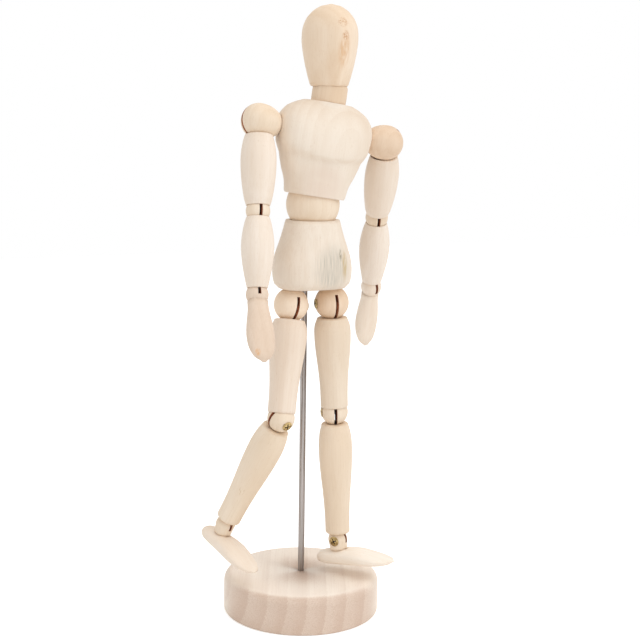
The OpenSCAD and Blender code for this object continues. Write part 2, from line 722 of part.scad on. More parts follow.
module hand(s) {
    palm_slope = 3;
    steps = 18;
    sides = 28;
    rings = [for (j = [0:steps]) let(
        t = 1 - 0.9 * pow(j / steps, 1.25),
        d = at_station(hand_st, t, 1),
        w = at_station(hand_st, t, 2),
        palm = at_station(hand_st, t, 3) * hand_t)
        [for (i = [0:sides - 1]) let(a = 360 * i / sides)
            [w * cos(a), palm + d * sin(a), -t * hand_len]]];
    color(wood) multmatrix(hand_at(s)) difference() {
        union() {
            sphere(r = wrist_r);
            difference() {
                skin(rings);
                translate([0, -1.92 * hand_t, -0.72 * hand_len]) rotate([palm_slope, 0, 0])
                    cube([4 * hand_w, 2 * hand_t, 0.9 * hand_len], center = true);
            }
        }
        rotate([180, 0, 0]) slot(wrist_r, 0.35 * wrist_r);
        pin_place(wrist_r) cylinder(r = pin_r, h = 2 * hand_w);
    }
}

module wrist_pin(s) {
    multmatrix(hand_at(s)) plain_pin(wrist_r);
}

// The neck: a ball with its middle turned down to a barrel
module neck() {
    color(wood) multmatrix(neck_at) difference() {
        intersection() {
            sphere(r = neck_r);
            rotate_extrude() polygon([[0, -neck_r],
                for (i = [-8:8]) [neck_barrel_r - 0.5 * pow(i / 8, 2), neck_r * i / 8], [0, neck_r]]);
        }
        down_by(2 * neck_r) cylinder(r = bore_r, h = 4 * neck_r);
    }
}

// Head stations: share of the height, half width as a share, depth as a share of the width
head_st = [
    [0.00, head_foot_r - 0.7, 1.00],
    [0.02, head_foot_r, 1.00],
    [0.10, head_foot_r + 0.24 * (head_r - head_foot_r), 1.01],
    [0.30, head_foot_r + 0.66 * (head_r - head_foot_r), 1.03],
    [0.50, head_foot_r + 0.95 * (head_r - head_foot_r), 1.04],
    [0.60, head_r, 1.04],
    [0.72, 0.965 * head_r, 1.04],
    [0.83, 0.835 * head_r, 1.04],
    [0.92, 0.615 * head_r, 1.04],
    [0.975, 0.36 * head_r, 1.04],
    [1.00, 0.06 * head_r, 1.04]
];

module head() {
    steps = 30;
    sides = 44;
    face_keel = 1.66;
    rings = [for (j = [0:steps]) let(
        t = j == 0 ? 0 : j == 1 ? 0.02 : 0.02 + 0.98 * sin(90 * (j - 1) / (steps - 1)),
        w = at_station(head_st, t, 1),
        d = w * at_station(head_st, t, 2))
        [for (i = [0:sides - 1]) let(a = 360 * i / sides, n = sin(a) < 0 ? face_keel : 2)
            [w * bulge(cos(a), n), d * bulge(sin(a), n), head_rise + t * head_h]]];
    color(wood) multmatrix(head_at) difference() {
        skin(rings);
        sphere(r = neck_r + seat_gap);
        cylinder(r = bore_r, h = head_anchor_z + bore_r);
        translate([0, -anchor_end, head_anchor_z]) rotate([-90, 0, 0]) cylinder(r = pin_r, h = 2 * head_r);
    }
}

module head_anchor_pin() {
    color(steel) multmatrix(head_at) translate([0, -anchor_end, head_anchor_z]) rotate([-90, 0, 0])
        cylinder(r = pin_r, h = 2 * anchor_end);
}

module neck_spring() {
    color(steel) {
        multmatrix(chest_at) {
            centre = chest_foot_rise + chest_h + neck_rise;
            translate([0, 0, neck_anchor_z]) rotate([0, 0, 90]) end_loop(0);
            shank(neck_anchor_z + loop_r, centre - bead_half, 0);
        }
        multmatrix(head_at) {
            rotate([90, 0, bead_roll]) sphere(r = neck_bead_r);
            shank(bead_half, neck_r + 1 + wire_d, 0);
            coil(neck_r + 1, head_anchor_z - coil_clear);
            shank(head_anchor_z - coil_clear - wire_d, head_anchor_z - loop_r, 0);
            translate([0, 0, head_anchor_z]) rotate([0, 0, 90]) end_loop(0);
        }
    }
}

module hip_ball(s) {
    color(wood) multmatrix(hip_at(s)) slotted_ball(hip_r, 0.55 * hip_r,
        pick(s, right_hip_lean, left_hip_lean)) screw_hole(hip_r, -s);
}

module hip_screw(s) {
    multmatrix(hip_at(s)) hinge_screw(hip_r, -s);
}

module thigh(s) {
    color(wood) multmatrix(thigh_at(s)) turned_limb(thigh_len,
        hip_rim, hip_r, 0.9 * hip_r, thigh_rad, 0.16, 3,
        knee_rim_above, knee_r, mouth(knee_r, knee_rim_above) + rim_land, 0.7);
}

module thigh_spring(s) {
    color(steel) {
        multmatrix(thigh_at(s)) {
            end_loop(loop_side);
            down_by(hip_r + coil_clear) shank(-wire_d, hip_r + coil_clear - loop_r, loop_side);
            down_by(thigh_len) coil(knee_r + 1, thigh_len - hip_r - coil_clear);
        }
        multmatrix(thigh_at(s) * down(thigh_len) * turn_z(pick(s, right_knee_turn, left_knee_turn))) {
            leaned_end(pick(s, right_knee_lean, 0), knee_r + 1 + wire_d);
        }
    }
}

module knee_ball(s) {
    color(wood) multmatrix(knee_at(s)) slotted_ball(knee_r, 0.5 * knee_r,
        pick(s, right_knee_lean, 0)) screw_hole(knee_r, -s);
}

module knee_screw(s) {
    multmatrix(knee_at(s)) hinge_screw(knee_r, -s);
}

module shin(s) {
    color(wood) multmatrix(knee_at(s)) turned_limb(shin_len,
        knee_rim_below, knee_r, 1.02 * knee_r, shin_rad, 0.22, 2.6,
        ankle_rim, ankle_r, 1.27 * ankle_r, 0.9);
}

module shin_spring(s) {
    color(steel) multmatrix(knee_at(s)) lower_spring(shin_len, knee_r);
}

module ankle_tongue(s) {
    multmatrix(ankle_at(s)) swivel_tongue(ankle_r);
}

// The ankle: a ball above and a short barrel below, which stands on the foot
ankle_seat = ankle_r;

module ankle_ball(s) {
    color(wood) multmatrix(foot_at(s)) difference() {
        union() {
            sphere(r = ankle_r);
            down_by(ankle_seat) cylinder(r1 = 0.88 * ankle_r, r2 = ankle_r, h = ankle_seat);
        }
        rotate([180, 0, 0]) slot(ankle_r, 0.35 * ankle_r);
        screw_hole(ankle_r, -s);
    }
}

module ankle_screw(s) {
    multmatrix(foot_at(s)) hinge_screw(ankle_r, -s);
}

// Foot stations: distance ahead of the ankle, half width, height of the top, lift of the sole
foot_st = [
    [-foot_heel, 0.16 * foot_w, 3.8, 2.4],
    [-0.9 * foot_heel, 0.5 * foot_w, 5.4, 1.0],
    [-0.6 * foot_heel, 0.76 * foot_w, 6.8, 0.2],
    [0, 0.86 * foot_w, 7.2, 0],
    [0.2 * foot_toe, 0.92 * foot_w, 7.9, 0],
    [0.4 * foot_toe, foot_w, 7.6, 0],
    [0.6 * foot_toe, foot_w, 6.1, 0],
    [0.8 * foot_toe, 0.86 * foot_w, 4.5, 0.3],
    [0.94 * foot_toe, 0.52 * foot_w, 3.4, 0.9],
    [foot_toe, 0.1 * foot_w, 2.3, 1.7]
];

module foot(s) {
    steps = 24;
    sides = 28;
    whole = foot_toe + foot_heel;
    rings = [for (j = [0:steps]) let(
        y = -foot_heel + whole * (1 - cos(180 * j / steps)) / 2,
        w = at_station(foot_st, y, 1),
        high = at_station(foot_st, y, 2),
        low = at_station(foot_st, y, 3))
        [for (i = [0:sides - 1]) let(a = 360 * i / sides, n = sin(a) < 0 ? 3.2 : 2.1)
            [w * bulge(cos(a), n), -y, -ankle_h + (high + low) / 2 + (high - low) / 2 * bulge(sin(a), n)]]];
    color(wood) multmatrix(foot_at(s)) difference() {
        skin(rings);
        down_by(ankle_seat) cylinder(r = ankle_r + seat_gap, h = ankle_h);
    }
}

base();
support_rod();
pelvis();
waist_ball();
chest();
neck();
head();
waist_spring();
neck_spring();
chest_spring();
hip_springs();
pelvis_anchor_pin();
chest_anchor_pins();
head_anchor_pin();
shoulder_ball(-1);  // shoulder_ball_r
shoulder_ball(1);  // shoulder_ball_l
shoulder_pin(-1);  // shoulder_pin_r
shoulder_pin(1);  // shoulder_pin_l
upper_arm(-1);  // upper_arm_r
upper_arm(1);  // upper_arm_l
upper_arm_spring(-1);  // upper_arm_spring_r
upper_arm_spring(1);  // upper_arm_spring_l
elbow_ball(-1);  // elbow_ball_r
elbow_ball(1);  // elbow_ball_l
elbow_pin(-1);  // elbow_pin_r
elbow_pin(1);  // elbow_pin_l
forearm(-1);  // forearm_r
forearm(1);  // forearm_l
forearm_spring(-1);  // forearm_spring_r
forearm_spring(1);  // forearm_spring_l
wrist_tongue(-1);  // wrist_tongue_r
wrist_tongue(1);  // wrist_tongue_l
hand(-1);  // hand_r
hand(1);  // hand_l
wrist_pin(-1);  // wrist_pin_r
wrist_pin(1);  // wrist_pin_l
hip_ball(-1);  // hip_ball_r
hip_ball(1);  // hip_ball_l
hip_screw(-1);  // hip_screw_r
hip_screw(1);  // hip_screw_l
thigh(-1);  // thigh_r
thigh(1);  // thigh_l
thigh_spring(-1);  // thigh_spring_r
thigh_spring(1);  // thigh_spring_l
knee_ball(-1);  // knee_ball_r
knee_ball(1);  // knee_ball_l
knee_screw(-1);  // knee_screw_r
knee_screw(1);  // knee_screw_l
shin(-1);  // shin_r
shin(1);  // shin_l
shin_spring(-1);  // shin_spring_r
shin_spring(1);  // shin_spring_l
ankle_tongue(-1);  // ankle_tongue_r
ankle_tongue(1);  // ankle_tongue_l
ankle_ball(-1);  // ankle_ball_r
ankle_ball(1);  // ankle_ball_l
ankle_screw(-1);  // ankle_screw_r
ankle_screw(1);  // ankle_screw_l
foot(-1);  // foot_r
foot(1);  // foot_l
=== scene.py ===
import bpy
import json
import math
from mathutils import Matrix, Vector


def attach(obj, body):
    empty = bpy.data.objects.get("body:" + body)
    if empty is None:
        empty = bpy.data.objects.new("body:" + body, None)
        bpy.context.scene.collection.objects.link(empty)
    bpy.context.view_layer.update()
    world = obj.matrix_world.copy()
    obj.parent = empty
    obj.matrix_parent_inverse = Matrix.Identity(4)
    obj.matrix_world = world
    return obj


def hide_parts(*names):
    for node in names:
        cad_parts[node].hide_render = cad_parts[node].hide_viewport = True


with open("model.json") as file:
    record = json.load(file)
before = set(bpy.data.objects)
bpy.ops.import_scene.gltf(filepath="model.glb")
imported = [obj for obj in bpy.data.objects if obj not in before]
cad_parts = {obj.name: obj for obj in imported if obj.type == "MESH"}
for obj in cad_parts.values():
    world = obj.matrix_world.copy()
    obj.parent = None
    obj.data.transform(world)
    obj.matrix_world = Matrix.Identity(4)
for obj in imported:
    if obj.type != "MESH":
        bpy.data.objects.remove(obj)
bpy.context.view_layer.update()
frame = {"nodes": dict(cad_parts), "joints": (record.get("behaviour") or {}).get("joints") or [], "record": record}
joints = {j["name"]: j for j in frame["joints"]}
bodyOf = {n: b for b, ns in frame["record"]["behaviour"]["bodies"].items() for n in ns}
mm = 0.001
up = Vector((0, 0, 1))
white = (1, 1, 1, 1)
sides = (("right", "_r"), ("left", "_l"))
print("frame loaded:", len(frame["nodes"]), "solids")

# The photograph's viewpoint, measured from the rod's foot
view = {"distance": 640 * mm, "height": 252 * mm, "azimuth": -25, "pitch": -9.1, "roll": 0.7,
        "lens": 73.24, "sensor": 36, "shiftX": 0.025, "nearest": 10 * mm}


def makeCamera():
    azimuth, pitch, roll = (math.radians(view[k]) for k in ("azimuth", "pitch", "roll"))
    bpy.ops.object.camera_add()
    camera = bpy.context.object
    camera.name = "photoCamera"
    stand = Vector((math.sin(azimuth) * view["distance"], -math.cos(azimuth) * view["distance"],
                    view["height"]))
    camera.matrix_world = (Matrix.Translation(stand) @ Matrix.Rotation(azimuth, 4, "Z")
                           @ Matrix.Rotation(math.pi / 2 + pitch, 4, "X") @ Matrix.Rotation(roll, 4, "Z"))
    camera.data.lens = view["lens"]
    camera.data.sensor_width = view["sensor"]
    camera.data.shift_x = view["shiftX"]
    camera.data.clip_start = view["nearest"]
    bpy.context.scene.camera = camera


def linear(hexColour):
    out = []
    for i in (1, 3, 5):
        c = int(hexColour[i:i + 2], 16) / 255
        out.append(c / 12.92 if c <= 0.04045 else ((c + 0.055) / 1.055) ** 2.4)
    return (*out, 1)


def addNode(tree, kind, settings=None, inputs=None):
    node = tree.nodes.new(kind)
    for key, value in (settings or {}).items():
        setattr(node, key, value)
    for key, value in (inputs or {}).items():
        if isinstance(value, bpy.types.NodeSocket):
            tree.links.new(value, node.inputs[key])
        else:
            node.inputs[key].default_value = value
    return node


# Settings that many nodes share; a colour mix takes its share at 0 and its two colours at 6 and 7
colourMix = {"data_type": "RGBA"}
softStep = {"interpolation_type": "SMOOTHSTEP"}
multiply = {"operation": "MULTIPLY"}
dotProduct = {"operation": "DOT_PRODUCT"}
length = {"operation": "LENGTH"}


def newMaterial(name):
    material = bpy.data.materials.new(name)
    material.use_nodes = True
    tree = material.node_tree
    return material, tree, tree.nodes["Principled BSDF"]


def pointOf(name):
    return Vector(joints[name]["pos_m"])


def axisOf(name):
    return Vector(joints[name]["axis"]).normalized()


# Linden wood, turned and fine-sanded, left raw: pale cream, with a close straight grain that hardly
# shows, soft growth bands, short darker pores and no gloss. A cut gives where a pattern sets in and is full.
limeWood = {"light": "#f3e6d8", "dark": "#e2cdb6", "pore": "#c9a985",
            "grainWidth": 0.7 * mm, "grainLength": 34 * mm, "grainCut": (0.42, 0.72), "grainShare": 0.24,
            "poreWidth": 0.3 * mm, "poreLength": 2.6 * mm, "poreCut": (0.66, 0.78), "poreShare": 0.3,
            "toneWidth": 14 * mm, "toneLength": 60 * mm, "toneCut": (0.3, 0.75), "toneShare": 0.5,
            "bandWidth": 4.2 * mm, "bandCut": (0.15, 0.95), "bandShare": 0.12, "waver": 0.5,
            "pith": (-38 * mm, -12 * mm), "endCut": (0.12, 0.7), "endShare": 0.3, "endShade": 0.15,
            "speckSize": 0.4 * mm, "speckCut": (0.4, 0.65), "speckShare": 0.1, "warp": 0.08,
            "roughness": (0.54, 0.7), "relief": 0.14, "reliefDepth": 0.1 * mm, "ior": 1.5, "gloss": 0.35}
seedStep = Vector((31, 17, 43)) * mm  # each piece is cut from another place in the plank


def makeWood(name, centre, along, seed, tint=None, stainsAndShade=()):
    spec = dict(limeWood, **(tint or {}))
    material, tree, shader = newMaterial(name)
    turn = along.to_track_quat("Z", "Y").to_matrix().inverted()
    turned = turn.to_euler()
    coords = addNode(tree, "ShaderNodeTexCoord")
    place, normal = coords.outputs["Object"], coords.outputs["Normal"]
    local = addNode(tree, "ShaderNodeMapping", None, {
        "Vector": place, "Location": -(turn @ centre) + seedStep * seed, "Rotation": turned}).outputs[0]
    # Three patterns drawn out along the grain
    drawn = {}
    for part, detail in (("grain", 3), ("pore", 1), ("tone", 2)):
        width, run = spec[part + "Width"], spec[part + "Length"]
        scaled = addNode(tree, "ShaderNodeMapping", None, {
            "Vector": local, "Scale": (1 / width, 1 / width, 1 / run)}).outputs[0]
        noise = addNode(tree, "ShaderNodeTexNoise", None, {
            "Vector": scaled, "Scale": 1, "Detail": detail, "Roughness": 0.5,
            "Distortion": spec["warp"]}).outputs["Fac"]
        top = 1 if part == "pore" else spec[part + "Share"]
        drawn[part] = noise
        drawn[part + "Cut"] = addNode(tree, "ShaderNodeMapRange", softStep, {
            "Value": noise, "From Min": spec[part + "Cut"][0], "From Max": spec[part + "Cut"][1],
            "To Max": top}).outputs["Result"]
    # Growth bands round a pith that lies well outside the piece
    pith = turn @ centre + Vector((*spec["pith"], 0))
    aside = addNode(tree, "ShaderNodeMapping", None, {
        "Vector": place, "Location": -pith, "Rotation": turned}).outputs[0]
    bands = addNode(tree, "ShaderNodeTexWave", {
        "wave_type": "RINGS", "rings_direction": "Z", "wave_profile": "SAW"}, {
        "Vector": aside, "Scale": 2 * math.pi / 20 / spec["bandWidth"], "Distortion": spec["waver"],
        "Detail": 2, "Detail Scale": 30}).outputs["Fac"]
    bands = addNode(tree, "ShaderNodeMapRange", softStep, {
        "Value": bands, "From Min": spec["bandCut"][0], "From Max": spec["bandCut"][1]}).outputs["Result"]
    # Faces across the grain show the bands more and are darker
    across = addNode(tree, "ShaderNodeVectorMath", dotProduct, {0: normal, 1: along}).outputs["Value"]
    across = addNode(tree, "ShaderNodeMath", {"operation": "ABSOLUTE"}, {0: across}).outputs[0]
    ends = addNode(tree, "ShaderNodeMapRange", softStep, {
        "Value": across, "From Min": spec["endCut"][0], "From Max": spec["endCut"][1]}).outputs["Result"]
    share = addNode(tree, "ShaderNodeMapRange", None, {
        "Value": ends, "To Min": spec["bandShare"], "To Max": spec["endShare"]}).outputs["Result"]
    bandMix = addNode(tree, "ShaderNodeMath", multiply, {0: share, 1: bands}).outputs[0]
    endMix = addNode(tree, "ShaderNodeMapRange", softStep, {
        "Value": ends, "To Max": spec["endShade"]}).outputs["Result"]
    # The cut ends of the fibres show as fine specks
    specks = addNode(tree, "ShaderNodeTexNoise", None, {
        "Vector": place, "Scale": 1 / spec["speckSize"], "Detail": 2}).outputs["Fac"]
    specks = addNode(tree, "ShaderNodeMapRange", softStep, {
        "Value": specks, "From Min": spec["speckCut"][0], "From Max": spec["speckCut"][1],
        "To Max": spec["speckShare"]}).outputs["Result"]
    speckMix = addNode(tree, "ShaderNodeMath", multiply, {0: specks, 1: ends}).outputs[0]
    poreMix = addNode(tree, "ShaderNodeMapRange", softStep, {
        "Value": drawn["poreCut"], "To Max": spec["poreShare"]}).outputs["Result"]
    colour, dark, pore = (linear(spec[k]) for k in ("light", "dark", "pore"))
    for factor, other in ((drawn["toneCut"], dark), (drawn["grainCut"], dark), (bandMix, dark),
                          (endMix, dark), (speckMix, pore), (poreMix, pore)):
        colour = addNode(tree, "ShaderNodeMix", colourMix, {0: factor, 6: colour, 7: other}).outputs[2]
    # Stains on the wood, and the painted shade on the face and chest
    for stainAndShade in stainsAndShade:
        colour = addStainAndShade(tree, colour, place, turn, stainAndShade)
    tree.links.new(colour, shader.inputs["Base Color"])
    rough = addNode(tree, "ShaderNodeMapRange", None, {
        "Value": drawn["grain"], "To Min": spec["roughness"][0], "To Max": spec["roughness"][1]})
    tree.links.new(rough.outputs["Result"], shader.inputs["Roughness"])
    relief = addNode(tree, "ShaderNodeMath", {"operation": "SUBTRACT"}, {
        0: drawn["grain"], 1: drawn["poreCut"]}).outputs[0]
    bump = addNode(tree, "ShaderNodeBump", None, {
        "Height": relief, "Strength": spec["relief"], "Distance": spec["reliefDepth"]})
    tree.links.new(bump.outputs[0], shader.inputs["Normal"])
    shader.inputs["IOR"].default_value = spec["ior"]
    shader.inputs["Specular IOR Level"].default_value = spec["gloss"]
    return material


def addStainAndShade(tree, colour, place, turn, stainAndShade):
    # A soft patch of another colour, broken up by streaks along the grain: a stain on the wood, and on the
    # face and chest painted shade
    moved = addNode(tree, "ShaderNodeMapping", None, {
        "Vector": place, "Location": -(turn @ Vector(stainAndShade["at"]) * mm), "Rotation": turn.to_euler()}).outputs[0]
    scaled = {}
    for key in ("size", "streak"):
        scaled[key] = addNode(tree, "ShaderNodeMapping", None, {
            "Vector": moved, "Scale": tuple(1 / (s * mm) for s in stainAndShade[key])}).outputs[0]
    far = addNode(tree, "ShaderNodeVectorMath", length, {0: scaled["size"]}).outputs["Value"]
    streak = addNode(tree, "ShaderNodeTexNoise", None, {
        "Vector": scaled["streak"], "Scale": 1, "Detail": 3, "Distortion": 0.05}).outputs["Fac"]
    edge = addNode(tree, "ShaderNodeMapRange", softStep, {
        "Value": far, "From Min": 0.35, "From Max": 1, "To Min": stainAndShade["share"], "To Max": 0}).outputs["Result"]
    broken = addNode(tree, "ShaderNodeMapRange", softStep, {
        "Value": streak, "From Min": stainAndShade["cut"][0], "From Max": stainAndShade["cut"][1]}).outputs["Result"]
    share = addNode(tree, "ShaderNodeMath", multiply, {0: edge, 1: broken}).outputs[0]
    return addNode(tree, "ShaderNodeMix", colourMix, {
        0: share, 6: colour, 7: linear(stainAndShade["colour"])}).outputs[2]


# Saw-cut wood: the slots are scorched reddish brown by the blade, and the brown is darker still as painted
# shade down in the slots
scorchAndShade = {"burnt": "#8f5236", "brown": "#c07a52", "patch": 1.1 * mm, "roughness": 0.85, "halfSlot": 0.78 * mm}


def makeSawCut():
    material, tree, shader = newMaterial("scorchedSawCut")
    place = addNode(tree, "ShaderNodeTexCoord").outputs["Object"]
    patch = addNode(tree, "ShaderNodeTexNoise", None, {
        "Vector": place, "Scale": 1 / scorchAndShade["patch"], "Detail": 3}).outputs["Fac"]
    burnAndShade = addNode(tree, "ShaderNodeMapRange", softStep, {
        "Value": patch, "From Min": 0.3, "From Max": 0.7}).outputs["Result"]
    colour = addNode(tree, "ShaderNodeMix", colourMix, {
        0: burnAndShade, 6: linear(scorchAndShade["burnt"]), 7: linear(scorchAndShade["brown"])}).outputs[2]
    tree.links.new(colour, shader.inputs["Base Color"])
    shader.inputs["Roughness"].default_value = scorchAndShade["roughness"]
    return material


# Bright drawn steel: the die leaves fine lines along the wire and a soft sheen
rodSteel = {"light": "#b1aaa6", "dark": "#837c79"}
springSteel = {"light": "#a9a6a6", "dark": "#75716f"}
drawLines = {"width": 0.25 * mm, "length": 30 * mm, "smooth": 0.22, "rough": 0.42}


def makeSteel(name, along, tint):
    material, tree, shader = newMaterial(name)
    turn = along.to_track_quat("Z", "Y").to_matrix().inverted()
    place = addNode(tree, "ShaderNodeTexCoord").outputs["Object"]
    lines = addNode(tree, "ShaderNodeMapping", None, {"Vector": place, "Rotation": turn.to_euler()}).outputs[0]
    thin, run = 1 / drawLines["width"], 1 / drawLines["length"]
    lines = addNode(tree, "ShaderNodeMapping", None, {"Vector": lines, "Scale": (thin, thin, run)}).outputs[0]
    drawn = addNode(tree, "ShaderNodeTexNoise", None, {"Vector": lines, "Scale": 1, "Detail": 3}).outputs["Fac"]
    share = addNode(tree, "ShaderNodeMapRange", softStep, {
        "Value": drawn, "From Min": 0.3, "From Max": 0.7}).outputs["Result"]
    colour = addNode(tree, "ShaderNodeMix", colourMix, {
        0: share, 6: linear(tint["light"]), 7: linear(tint["dark"])}).outputs[2]
    tree.links.new(colour, shader.inputs["Base Color"])
    rough = addNode(tree, "ShaderNodeMapRange", None, {
        "Value": drawn, "To Min": drawLines["smooth"], "To Max": drawLines["rough"]}).outputs["Result"]
    tree.links.new(rough, shader.inputs["Roughness"])
    shader.inputs["Metallic"].default_value = 1
    return material


# Brass-plated steel screws, dulled by handling: grey-yellow faces, and dark brown down in the cross
screw = {"bright": "#c2aa7a", "dull": "#8c7349", "dirt": "#35261a", "patch": 0.9 * mm, "smooth": 0.3,
         "rough": 0.55, "headZone": 0.3 * mm, "faceDepth": 0.15 * mm, "dirtDepth": 0.5 * mm, "dirtReach": 0.66}


def makeBrass(solid, joint):
    material, tree, shader = newMaterial(solid.name + "Brass")
    axis, middle = axisOf(joint), pointOf(joint)
    spots = [v.co for v in solid.data.vertices]
    # The head is the wider end
    width = {}
    for sign in (1, -1):
        end = max(sign * (p - middle).dot(axis) for p in spots) - screw["headZone"]
        width[sign] = max((p - middle).cross(axis).length for p in spots if sign * (p - middle).dot(axis) > end)
    outward = axis * max(width, key=width.get)
    top = max(p.dot(outward) for p in spots)
    place = addNode(tree, "ShaderNodeTexCoord").outputs["Object"]
    dull = addNode(tree, "ShaderNodeTexNoise", None, {
        "Vector": place, "Scale": 1 / screw["patch"], "Detail": 4}).outputs["Fac"]
    # The dark brown lies where the cross goes below the face, within the reach of its arms
    height = addNode(tree, "ShaderNodeVectorMath", dotProduct, {0: place, 1: outward}).outputs["Value"]
    deep = addNode(tree, "ShaderNodeMapRange", None, {
        "Value": height, "From Min": top - screw["faceDepth"],
        "From Max": top - screw["dirtDepth"]}).outputs["Result"]
    off = addNode(tree, "ShaderNodeVectorMath", {"operation": "SUBTRACT"}, {0: place, 1: middle}).outputs[0]
    off = addNode(tree, "ShaderNodeVectorMath", {"operation": "CROSS_PRODUCT"}, {0: off, 1: axis}).outputs[0]
    off = addNode(tree, "ShaderNodeVectorMath", length, {0: off}).outputs["Value"]
    inside = addNode(tree, "ShaderNodeMath", {"operation": "LESS_THAN"}, {
        0: off, 1: screw["dirtReach"] * max(width.values())}).outputs[0]
    dirt = addNode(tree, "ShaderNodeMath", multiply, {0: deep, 1: inside}).outputs[0]
    worn = addNode(tree, "ShaderNodeMapRange", softStep, {
        "Value": dull, "From Min": 0.35, "From Max": 0.7}).outputs["Result"]
    colour = linear(screw["bright"])
    for factor, other in ((worn, "dull"), (dirt, "dirt")):
        colour = addNode(tree, "ShaderNodeMix", colourMix, {
            0: factor, 6: colour, 7: linear(screw[other])}).outputs[2]
    tree.links.new(colour, shader.inputs["Base Color"])
    rough = addNode(tree, "ShaderNodeMapRange", None, {
        "Value": dull, "To Min": screw["smooth"], "To Max": screw["rough"]}).outputs["Result"]
    tree.links.new(rough, shader.inputs["Roughness"])
    shine = addNode(tree, "ShaderNodeMapRange", None, {"Value": dirt, "To Min": 1, "To Max": 0}).outputs["Result"]
    tree.links.new(shine, shader.inputs["Metallic"])
    return material


# The ridge down the middle of the face is crisp from this far below the crown and in front of the neck
faceRidge = {"slack": 0.12 * mm, "front": 6 * mm, "crown": 7 * mm}


def creaseFace(piece):
    spots = piece.data.vertices
    middle, forward = pointOf("head_tilt"), axisOf("head_tilt")
    forward = forward if forward.y < 0 else -forward
    top = max(v.co.z for v in spots)
    crown = [v.co for v in spots if v.co.z > top - faceRidge["slack"]]
    sideways = forward.cross(sum(crown, Vector()) / len(crown) - middle).normalized()
    count = 0
    for edge in piece.data.edges:
        ends = [spots[i].co for i in edge.vertices]
        if all(abs((p - middle).dot(sideways)) < faceRidge["slack"]
               and (p - middle).dot(forward) > faceRidge["front"]
               and p.z < top - faceRidge["crown"] for p in ends):
            edge.use_edge_sharp = True
            count += 1
    print("face ridge edges:", count)


# Edges that turn by more degrees than this stay crisp
sanding = {"mergeWithin": 0.002 * mm, "crispFrom": 38, "chestCrispFrom": 19}


def sandedCopy(node, material):
    # The solid's own form, merged to one skin and shaded as a turned and sanded surface
    piece = bpy.data.objects.new(node + "_wood", frame["nodes"][node].data.copy())
    bpy.context.scene.collection.objects.link(piece)
    bpy.ops.object.select_all(action="DESELECT")
    bpy.context.view_layer.objects.active = piece
    piece.select_set(True)
    bpy.ops.object.mode_set(mode="EDIT")
    bpy.ops.mesh.select_all(action="SELECT")
    bpy.ops.mesh.remove_doubles(threshold=sanding["mergeWithin"])
    bpy.ops.object.mode_set(mode="OBJECT")
    crisp = sanding["chestCrispFrom" if node == "chest" else "crispFrom"]
    bpy.ops.object.shade_smooth_by_angle(angle=math.radians(crisp))
    if node == "head":
        creaseFace(piece)
    piece.data.materials.clear()
    piece.data.materials.append(material)
    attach(piece, bodyOf[node])
    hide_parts(node)
    return piece


def scorchAndShadeSlot(piece, joint, material, reach):
    # The slot's two walls and its floor, found from the hinge that runs across it, take the scorched brown
    # with its painted shade
    across, centre = axisOf(joint), pointOf(joint)
    piece.data.materials.append(material)
    for side in piece.data.polygons:
        away = side.center - centre
        if abs(away.dot(across)) < scorchAndShade["halfSlot"] and away.length < reach:
            side.material_index = 1


# The tints of the planks that the pieces were turned from
warm = {"light": "#f2e1cc", "dark": "#dfc6a8"}
honey = {"light": "#ebd4ba", "dark": "#d6b795"}
rosy = {"light": "#f3e0ca", "dark": "#dfc3a3"}
ashen = {"light": "#efe2d2", "dark": "#ddc8b1"}
evenAshen = dict(ashen, grainShare=0.14)
blush = {"light": "#f1e1d0", "dark": "#dfc7af"}
sallow = {"light": "#eddcc7", "dark": "#dbc3a7"}
tan = {"light": "#e6d1bd", "dark": "#d3b9a0"}
peach = {"light": "#f9e6d0", "dark": "#ebd0b3"}
fawn = {"light": "#ead3bb", "dark": "#d6b798"}
amber = {"light": "#eed5bb", "dark": "#dabb99"}
pale = {"light": "#fbf1e4", "dark": "#f0dcc6"}
bright = {"light": "#f7eadb", "dark": "#e8d2ba"}
# The base's grain runs from front to back, away from the camera, with the pith off to the figure's right
baseTint = {"light": "#f9eddf", "dark": "#c9ab97", "pore": "#c4a68c", "bandWidth": 9.6 * mm,
            "bandShare": 0.1, "endShare": 0.4, "grainShare": 0.1, "toneShare": 0.2, "endShade": 0.5,
            "speckShare": 0.4, "waver": 0.7, "pith": (64 * mm, 19 * mm)}
baseGrain, baseSeed = Vector((0.423, 0.906, 0)), 3
